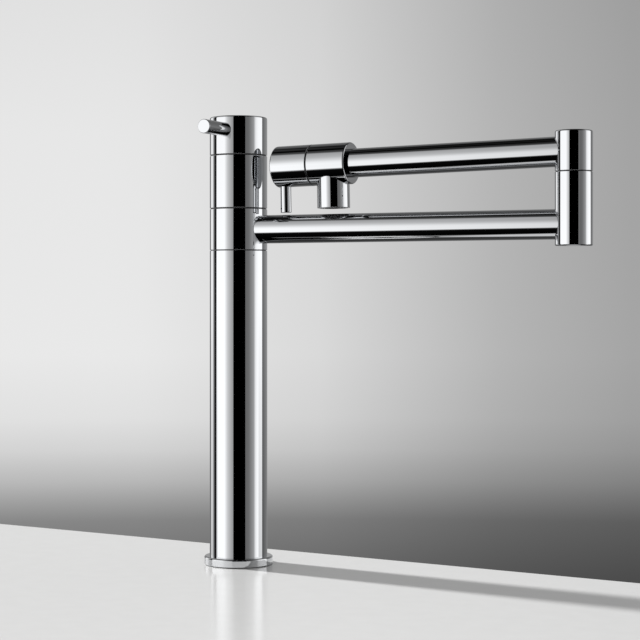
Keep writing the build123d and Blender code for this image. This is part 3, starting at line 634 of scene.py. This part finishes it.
def screw_thread():
    """A tree for a screw thread: a ridge of three-sided section that climbs round the Z axis."""
    tree = bpy.data.node_groups.new("screw_thread", "GeometryNodeTree")
    for label, value in (("Tip radius", 0.016), ("Pitch", 0.0015), ("Length", 0.04), ("Start", 0.0)):
        socket = tree.interface.new_socket(name=label, in_out="INPUT", socket_type="NodeSocketFloat")
        socket.default_value = value
    tree.interface.new_socket(name="Finish", in_out="INPUT", socket_type="NodeSocketMaterial")
    tree.interface.new_socket(name="Thread", in_out="OUTPUT", socket_type="NodeSocketGeometry")
    given, made = tree.nodes.new("NodeGroupInput"), tree.nodes.new("NodeGroupOutput")

    def thread_sum(operation, *values):
        node = tree.nodes.new("ShaderNodeMath")
        node.operation = operation
        for socket, value in zip(node.inputs, values):
            if isinstance(value, float):
                socket.default_value = value
            else:
                tree.links.new(value, socket)
        return node.outputs[0]

    ridge_share = 0.55
    points_per_turn = 40
    ridge_sides = 3
    ridge = thread_sum("MULTIPLY", given.outputs["Pitch"], ridge_share)
    radius = thread_sum("SUBTRACT", given.outputs["Tip radius"], ridge)
    helix = tree.nodes.new("GeometryNodeCurveSpiral")
    helix.inputs["Resolution"].default_value = points_per_turn
    turns = thread_sum("DIVIDE", given.outputs["Length"], given.outputs["Pitch"])
    tree.links.new(turns, helix.inputs["Rotations"])
    tree.links.new(radius, helix.inputs["Start Radius"])
    tree.links.new(radius, helix.inputs["End Radius"])
    tree.links.new(given.outputs["Length"], helix.inputs["Height"])
    level = tree.nodes.new("GeometryNodeSetCurveNormal")
    level.mode = "Z_UP"
    section = tree.nodes.new("GeometryNodeCurvePrimitiveCircle")
    section.inputs["Resolution"].default_value = ridge_sides
    tree.links.new(ridge, section.inputs["Radius"])
    swept = tree.nodes.new("GeometryNodeCurveToMesh")
    swept.inputs["Fill Caps"].default_value = True
    lift = tree.nodes.new("ShaderNodeCombineXYZ")
    tree.links.new(given.outputs["Start"], lift.inputs["Z"])
    placed = tree.nodes.new("GeometryNodeTransform")
    whole = tree.nodes.new("GeometryNodeRealizeInstances")
    finish = tree.nodes.new("GeometryNodeSetMaterial")
    tree.links.new(helix.outputs["Curve"], level.inputs["Curve"])
    tree.links.new(level.outputs["Curve"], swept.inputs["Curve"])
    tree.links.new(section.outputs["Curve"], swept.inputs["Profile Curve"])
    tree.links.new(swept.outputs["Mesh"], placed.inputs["Geometry"])
    tree.links.new(lift.outputs[0], placed.inputs["Translation"])
    tree.links.new(placed.outputs["Geometry"], whole.inputs["Geometry"])
    tree.links.new(whole.outputs["Geometry"], finish.inputs["Geometry"])
    tree.links.new(given.outputs["Finish"], finish.inputs["Material"])
    tree.links.new(finish.outputs["Geometry"], made.inputs["Thread"])
    return tree


thread_tree = screw_thread()


def threaded(name, tip_radius, pitch, start, end, finish):
    """The ridge of a thread between two heights in millimetres, as a plain mesh."""
    seed = bpy.data.objects.new(name + "_seed", bpy.data.meshes.new(name + "_seed"))
    bpy.context.scene.collection.objects.link(seed)
    step = seed.modifiers.new("thread", "NODES")
    step.node_group = thread_tree
    items = thread_tree.interface.items_tree
    sockets = {item.name: item.identifier for item in items if item.in_out == "INPUT"}
    step[sockets["Tip radius"]] = tip_radius * mm
    step[sockets["Pitch"]] = pitch * mm
    step[sockets["Length"]] = (end - start) * mm
    step[sockets["Start"]] = start * mm
    step[sockets["Finish"]] = finish
    mesh = bpy.data.meshes.new_from_object(seed.evaluated_get(bpy.context.evaluated_depsgraph_get()))
    bpy.data.objects.remove(seed)
    mesh.name = name
    piece = bpy.data.objects.new(name, mesh)
    bpy.context.scene.collection.objects.link(piece)
    return piece


shank_bottom, shank_top = span("threaded_shank")
shank_wall = 4.0
shank_bore = shank_radius - shank_wall
shank_thread_depth = 1.1
shank_root = shank_radius - shank_thread_depth
shank_pitch = 1.5
shank_thread_top = -1.5
shank_taper = 0.3
shank_taper_length = 2.0
shank_round = 0.6
shank = turned("shank_core", [
    (shank_bore, shank_bottom), (shank_root - shank_taper, shank_bottom, shank_round),
    (shank_root, shank_bottom + shank_taper_length), (shank_root, shank_thread_top),
    (shank_radius, shank_thread_top), (shank_radius, shank_top), (shank_bore, shank_top)], upright)
shank_thread = threaded("shank_thread", shank_radius, shank_pitch, shank_bottom + shank_pitch,
                        shank_thread_top - shank_pitch, brass)
for piece in (shank, shank_thread):
    fitted(piece, "pillar", "brass", brass, "threaded_shank")
kept(rubber, "base_gasket", "deck_gasket")
kept(steel, "clamp_washer")
kept(brass, "mounting_nut", "foot_plug")


# Water inlet and riser
# The brass inlet hangs through the shank and ends in a half-inch male thread. A drawn copper pipe takes the
# water from its collar up to the core.

copper = surface("drawn_copper", light=(0.80, 0.44, 0.29), dark=(0.62, 0.31, 0.19), cleanest=0.18,
                 dullest=0.40, metallic=1.0, patches=55.0, lines=2500.0, across=1.0, along=0.02, relief=4e-6)
inlet_bottom, collar_top = span("inlet_tail")
collar_radius = reach("inlet_tail")
collar_height = 8.0
collar_bottom = collar_top - collar_height
inlet_radius = 9.0
inlet_bore = 6.0
inlet_tip_radius = 10.45
inlet_thread_depth = 0.8
inlet_root = inlet_tip_radius - inlet_thread_depth
inlet_pitch = 1.8
inlet_thread_length = 15.0
inlet_thread_top = inlet_bottom + inlet_thread_length
inlet_taper = 0.15
inlet_taper_length = 1.5
inlet_round = 0.5
riser_bottom = span("riser_tube")[0]
riser_socket_radius = reach("riser_tube") + slip
inlet = turned("inlet_core", [
    (inlet_bore, inlet_bottom), (inlet_root - inlet_taper, inlet_bottom, inlet_round),
    (inlet_root, inlet_bottom + inlet_taper_length), (inlet_root, inlet_thread_top - inlet_taper_length),
    (inlet_tip_radius, inlet_thread_top), (inlet_radius, inlet_thread_top), (inlet_radius, collar_bottom),
    (collar_radius, collar_bottom), (collar_radius, collar_top, inlet_round),
    (riser_socket_radius, collar_top), (riser_socket_radius, riser_bottom),
    (inlet_bore, riser_bottom)], upright)
inlet_thread = threaded("inlet_thread", inlet_tip_radius, inlet_pitch, inlet_bottom + inlet_taper_length,
                        inlet_thread_top - inlet_pitch, brass)
for piece in (inlet, inlet_thread):
    fitted(piece, "pillar", "brass", brass, "inlet_tail")
kept(copper, "riser_tube")


# Pillar
# A thick-walled brass tube, polished along its length and chromed. It stands in the flange's counterbore, and
# the brass plug closes its foot.

column_wall = 2.0
column_steps = 192
column_inside = column_radius - column_wall
column = turned("pillar_column", [
    (column_inside, column_bottom), (column_radius, column_bottom), (column_radius, column_top, fine_round),
    (column_inside, column_top)], upright, steps=column_steps)
fitted(column, "pillar", "chrome", plated, "pillar_tube")


# Core and swivel
# The brass core plugs the column's head and carries the swivel ring on its spindle, between two acetal rings
# that show as thin dark lines. Two rubber rings seal the chamber behind the arm.

acetal = surface("dark_acetal", light=(0.035, 0.035, 0.037), dark=(0.022, 0.022, 0.023), cleanest=0.35,
                 dullest=0.5, metallic=0.0, patches=150.0, lines=1500.0, across=1.0, along=1.0, relief=1e-5)
kept(brass, "core_body")
kept(acetal, "swivel_glide_lower", "swivel_glide_upper")
kept(rubber, "swivel_seal_lower", "swivel_seal_upper")


# Upper body
# The chromed sleeve above the swivel ring. It is screwed onto the spindle and never turns. Inside it a nut
# holds down the bell of the valve, with its rubber seat and two lapped ceramic discs.

ceramic = surface("lapped_ceramic", light=(0.86, 0.84, 0.80), dark=(0.80, 0.775, 0.73), cleanest=0.10,
                  dullest=0.2, metallic=0.0, patches=300.0, lines=5000.0, across=1.0, along=1.0, relief=1e-6)
spindle_wall = 8.0
sleeve_bore = column_radius - spindle_wall + slip
sleeve_bottom, sleeve_top = span("upper_body")
nut_bore = reach("top_cartridge_nut") + slip
nut_bottom = span("top_cartridge_nut")[0]
sleeve = turned("upper_body_sleeve", [
    (sleeve_bore, sleeve_bottom), (column_radius, sleeve_bottom, fine_round),
    (column_radius, sleeve_top, fine_round), (nut_bore, sleeve_top), (nut_bore, nut_bottom),
    (sleeve_bore, nut_bottom)], upright, steps=column_steps)
fitted(sleeve, "pillar", "chrome", plated, "upper_body")
kept(rubber, "top_cartridge_seal")
kept(ceramic, "top_fixed_disc", "top_moving_disc")
kept(brass, "top_cartridge_housing", "top_cartridge_nut", "top_stem")


# Top handle
# A chromed cap that turns a quarter turn, with a rod screwed into its side as the lever. At the back a set
# screw with a hexagon socket, sunk in its hole, grips the flat of the stem.

rear = quarter_turn
front = 3 * quarter_turn


def outwards(height, angle):
    """The place that lays a piece from the Z axis outwards, at a height and an angle from +X."""
    lift = Matrix.Translation((0, 0, height))
    return lift @ Matrix.Rotation(angle, 4, "Z") @ Matrix.Rotation(quarter_turn, 4, "Y")


def middle(node, place=upright):
    """How far along a place's Z axis the middle of a CAD node is, in millimetres."""
    return sum(span(node, place)) / 2


def socket_screw(name, radius, start, end, flats, place):
    """A headless screw with a chamfered end and a hexagon socket as deep as it is wide."""
    steps = 48
    chamfer_share = 0.12
    chamfer = radius * chamfer_share
    points, faces, normals = [], [], []

    def ring(edge_at, height):
        points.extend(Vector((*edge_at(math.tau * k / steps), height)) for k in range(steps))
        return len(points) - steps

    def circle(size):
        return lambda turn: (size * math.cos(turn), size * math.sin(turn))

    def hexagon(turn):
        away = flats / 2 / math.cos((turn + math.pi / 6) % (math.pi / 3) - math.pi / 6)
        return away * math.cos(turn), away * math.sin(turn)

    rings = [ring(circle(radius), start), ring(circle(radius), end - chamfer)]
    rings += [ring(circle(radius - chamfer), end), ring(hexagon, end), ring(hexagon, end - flats)]
    for low, high in zip(rings, rings[1:]):
        for k in range(steps):
            m = (k + 1) % steps
            face = (low + k, low + m, high + m, high + k)
            first, second, _, last = (points[corner] for corner in face)
            faces.append(face)
            normals += [(second - first).cross(last - first).normalized()] * 4
    for base, height, order in ((rings[0], start, -1), (rings[-1], end - flats, 1)):
        centre = len(points)
        points.append(Vector((0, 0, height)))
        for k in range(steps):
            m = (k + 1) % steps
            faces.append((base + k, base + m, centre)[::order])
            normals += [Vector((0, 0, order))] * 3
    return smooth(name, points, faces, normals, place)


cap_bottom, cap_top = span("top_handle_cap")
cap_wall = 5.0
cap_cavity = 5.1
lever_height = middle("top_lever")
lever_place = outwards(lever_height, front)
lever_radius = 6.0
lever_seat = 17.0
lever_spigot = 4.0
lever_start, lever_end = span("top_lever", lever_place)
lever_round = 0.6
stem_radius = 5.0
stem_top = span("top_stem")[1] + slip
top_screw_radius = 2.5
top_screw_flats = 2.5
top_screw_floor = 10.0
top_screw_height = middle("top_set_screw")
top_screw_place = outwards(top_screw_height, rear)
cap = turned("top_handle_cap_shell", [
    (stem_radius + slip, cap_bottom + cap_cavity), (column_radius - cap_wall, cap_bottom + cap_cavity),
    (column_radius - cap_wall, cap_bottom), (column_radius, cap_bottom, fine_round),
    (column_radius, cap_top, soft_round), (0, cap_top), (0, stem_top),
    (stem_radius + slip, stem_top)], upright,
    holes=[(front, lever_height, lever_radius + slip, lever_seat),
           (rear, top_screw_height, top_screw_radius, top_screw_floor)], steps=column_steps)
fitted(cap, "top_handle", "chrome", plated, "top_handle_cap")
lever = turned("top_lever_rod", [
    (0, lever_start), (lever_spigot, lever_start), (lever_spigot, lever_seat), (lever_radius, lever_seat),
    (lever_radius, lever_end, lever_round), (0, lever_end)], lever_place, steps=96)
fitted(lever, "top_handle", "chrome", plated, "top_lever")
top_screw = socket_screw("top_socket_screw", top_screw_radius - slip, *span("top_set_screw", top_screw_place),
                         top_screw_flats, top_screw_place)
fitted(top_screw, "top_handle", "steel", steel, "top_set_screw")
kept(acetal, "top_glide_ring")


# Swivel ring and lower arm
# The ring turns on the core's spindle. The arm is a drawn tube, brazed to the ring and to the elbow, and the
# joint is polished away to a fine line before plating.


def saddle(place, centre, axis, radius, side):
    """The height where a turned piece meets another's round wall: side is 1 beyond it and -1 before."""
    run = place.to_3x3() @ Vector((0, 0, 1))
    slide = run - axis * run.dot(axis)

    def height(r, angle):
        start = place @ Vector((r * math.cos(angle), r * math.sin(angle), 0)) - centre
        start -= axis * start.dot(axis)
        a, b, c = slide.dot(slide), start.dot(slide), start.dot(start) - radius ** 2
        return (-b + side * math.sqrt(b * b - a * c)) / a

    return height


joints = {joint["name"]: joint for joint in frame["joints"]}
elbow_centre = Vector((*joints["elbow_swivel"]["pos_m"][:2], 0)) / mm
elbow_place = Matrix.Translation(elbow_centre)
elbow_radius = reach("elbow_lower_sleeve", elbow_place)
ring_bottom, ring_top = span("swivel_ring")
swivel_ring = turned("swivel_ring_sleeve", [
    (sleeve_bore, ring_bottom), (column_radius, ring_bottom, fine_round),
    (column_radius, ring_top, fine_round), (sleeve_bore, ring_top)], upright, steps=column_steps)
fitted(swivel_ring, "lower_arm", "chrome", plated, "swivel_ring")

arm_height = middle("lower_arm_tube")
lower_place = outwards(arm_height, 0)
arm_radius = reach("lower_arm_tube", lower_place)
arm_wall = 1.5
arm_inside = arm_radius - arm_wall
at_ring = saddle(lower_place, Vector(), vertical, column_radius, 1)
at_elbow = saddle(lower_place, elbow_centre, vertical, elbow_radius, -1)
lower_arm = turned("lower_arm_pipe", [
    (arm_inside, at_ring), (arm_radius, at_ring), (arm_radius, at_elbow),
    (arm_inside, at_elbow)], lower_place)
fitted(lower_arm, "lower_arm", "chrome", plated, "lower_arm_tube")


# Elbow
# Two chromed sleeves on one brass spindle, with a thin acetal washer between them. A circlip under a thrust
# washer holds them together, and a chromed plug closes the foot.

elbow_bottom, elbow_seam = span("elbow_lower_sleeve")
elbow_joint, elbow_top = span("elbow_upper_sleeve")
spindle_bore = reach("elbow_spindle", elbow_place) + slip
chamber_radius = 9.0
chamber_height = 7.0
chamber_bottom = arm_height - chamber_height / 2
chamber_top = arm_height + chamber_height / 2
elbow_roof = 8.5
spindle_top = span("elbow_spindle")[1]
washer_top = span("elbow_thrust_washer")[1]
plug_radius = reach("elbow_bottom_plug", elbow_place)
plug_top = span("elbow_bottom_plug")[1]
plug_round = 0.3
elbow_lower = turned("elbow_lower_shell", [
    (plug_radius + slip, elbow_bottom), (elbow_radius, elbow_bottom, soft_round),
    (elbow_radius, elbow_seam, fine_round), (spindle_bore, elbow_seam), (spindle_bore, chamber_top),
    (chamber_radius, chamber_top), (chamber_radius, chamber_bottom), (spindle_bore, chamber_bottom),
    (spindle_bore, washer_top), (plug_radius + slip, washer_top)], elbow_place)
fitted(elbow_lower, "lower_arm", "chrome", plated, "elbow_lower_sleeve")
elbow_plug = turned("elbow_foot_plug", [
    (0, elbow_bottom), (plug_radius, elbow_bottom, plug_round), (plug_radius, plug_top),
    (0, plug_top)], elbow_place)
fitted(elbow_plug, "lower_arm", "chrome", plated, "elbow_bottom_plug")
elbow_upper = turned("elbow_upper_shell", [
    (spindle_bore, spindle_top), (spindle_bore, elbow_joint), (elbow_radius, elbow_joint, fine_round),
    (elbow_radius, elbow_top, soft_round), (0, elbow_top), (0, elbow_top - elbow_roof),
    (chamber_radius, elbow_top - elbow_roof), (chamber_radius, spindle_top)], elbow_place)
fitted(elbow_upper, "upper_arm", "chrome", plated, "elbow_upper_sleeve")
kept(acetal, "elbow_glide_washer")
kept(brass, "elbow_spindle")
kept(steel, "elbow_thrust_washer", "elbow_circlip")
kept(rubber, "elbow_seal_lower", "elbow_seal_middle", "elbow_seal_upper")


# Upper arm
# The same drawn tube as the lower arm, brazed into the elbow's upper sleeve and into the valve. It falls a
# little towards the valve.

arm_joint = joints["end_handle_turn"]
arm_slope = math.asin(arm_joint["axis"][2])
arm_start = Matrix.Translation(Vector(arm_joint["pos_m"]) / mm)
arm_place = arm_start @ Matrix.Rotation(arm_slope - quarter_turn, 4, "Y")
tube_end = span("upper_arm_tube", arm_place)[1]
from_elbow = saddle(arm_place, elbow_centre, vertical, elbow_radius, 1)
upper_arm = turned("upper_arm_pipe", [
    (arm_inside, from_elbow), (arm_radius, from_elbow), (arm_radius, tube_end),
    (arm_inside, tube_end)], arm_place)
fitted(upper_arm, "upper_arm", "chrome", plated, "upper_arm_tube")


# Valve body
# The thicker chromed body that the upper arm is brazed into. A gland nut holds its brass housing, with two
# ceramic discs inside and a rubber seat behind them.

valve_start, valve_end = span("valve_body", arm_place)
valve_radius = reach("valve_body", arm_place)
valve_bore = reach("valve_housing", arm_place) + slip
valve_floor = span("valve_seal", arm_place)[0]
valve_inlet = 5.0
valve_shoulder = 1.2
valve = turned("valve_shell", [
    (arm_radius + slip, valve_start), (valve_radius, valve_start, valve_shoulder),
    (valve_radius, valve_end, fine_round), (valve_bore, valve_end), (valve_bore, valve_floor),
    (valve_inlet, valve_floor), (valve_inlet, tube_end), (arm_radius + slip, tube_end)], arm_place)
fitted(valve, "upper_arm", "chrome", plated, "valve_body")
kept(brass, "valve_housing", "valve_gland_nut", "end_stem")
kept(rubber, "valve_seal")
kept(ceramic, "valve_fixed_disc", "end_moving_disc")


# Spout and aerator
# A short chromed spout brazed under the valve. A threaded acetal ring in its mouth holds the flow former and
# a honeycomb screen that straightens the water.

grey_acetal = surface("grey_acetal", light=(0.10, 0.10, 0.105), dark=(0.07, 0.07, 0.074), cleanest=0.3,
                      dullest=0.45, metallic=0.0, patches=200.0, lines=1500.0, across=1.0, along=1.0,
                      relief=1e-5)
downwards = 2 * quarter_turn
spout_along = middle("spout_nozzle", arm_place)
spout_place = arm_place @ outwards(spout_along, downwards)
spout_mouth = span("spout_nozzle", spout_place)[1]
spout_radius = reach("spout_nozzle", spout_place)
spout_socket = 12.0
spout_bore = 5.0
spout_shelf = span("aerator_washer", spout_place)[0]
arm_run = arm_place.to_3x3() @ Vector((0, 0, 1))
under_valve = saddle(spout_place, arm_place @ Vector((0, 0, spout_along)), arm_run, valve_radius, 1)
spout_steps = 120
spout = turned("spout_shell", [
    (spout_radius, under_valve), (spout_radius, spout_mouth, fine_round), (spout_socket, spout_mouth),
    (spout_socket, spout_shelf), (spout_bore, spout_shelf),
    (spout_bore, under_valve)], spout_place, steps=spout_steps)
fitted(spout, "upper_arm", "chrome", plated, "spout_nozzle")
kept(rubber, "aerator_washer")
kept(grey_acetal, "aerator_housing", "aerator_insert", "aerator_screen")


# End handle
# The chromed cap that forms the arm's end and turns with the valve's stem. A short rod hangs from it as the
# lever, and a set screw at the back grips the stem.

end_start, end_stop = span("end_handle_cap", arm_place)
end_wall = 3.7
end_cavity = 6.4
end_stem_radius = 4.5
end_stem_stop = span("end_stem", arm_place)[1] + slip
pin_along = middle("end_pin_lever", arm_place)
pin_place = arm_place @ outwards(pin_along, downwards)
pin_radius = reach("end_pin_lever", pin_place)
pin_start, pin_end = span("end_pin_lever", pin_place)
pin_seat = 8.0
pin_spigot = 3.0
pin_round = 0.6
end_screw_along = middle("end_set_screw", arm_place)
end_screw_place = arm_place @ outwards(end_screw_along, rear)
end_screw_radius = 2.0
end_screw_flats = 2.0
end_screw_floor = 9.0
end_steps = 180
end_cap = turned("end_handle_shell", [
    (end_stem_radius + slip, end_start + end_cavity), (valve_radius - end_wall, end_start + end_cavity),
    (valve_radius - end_wall, end_start), (valve_radius, end_start, fine_round),
    (valve_radius, end_stop, soft_round), (0, end_stop), (0, end_stem_stop),
    (end_stem_radius + slip, end_stem_stop)], arm_place,
    holes=[(downwards, pin_along, pin_radius + slip, pin_seat),
           (rear, end_screw_along, end_screw_radius, end_screw_floor)], steps=end_steps)
fitted(end_cap, "end_handle", "chrome", plated, "end_handle_cap")
pin = turned("end_pin_rod", [
    (0, pin_start), (pin_spigot, pin_start), (pin_spigot, pin_seat), (pin_radius, pin_seat),
    (pin_radius, pin_end, pin_round), (0, pin_end)], pin_place, steps=96)
fitted(pin, "end_handle", "chrome", plated, "end_pin_lever")
end_screw = socket_screw("end_socket_screw", end_screw_radius - slip, *span("end_set_screw", end_screw_place),
                         end_screw_flats, end_screw_place)
fitted(end_screw, "end_handle", "steel", steel, "end_set_screw")
kept(acetal, "end_glide_ring")
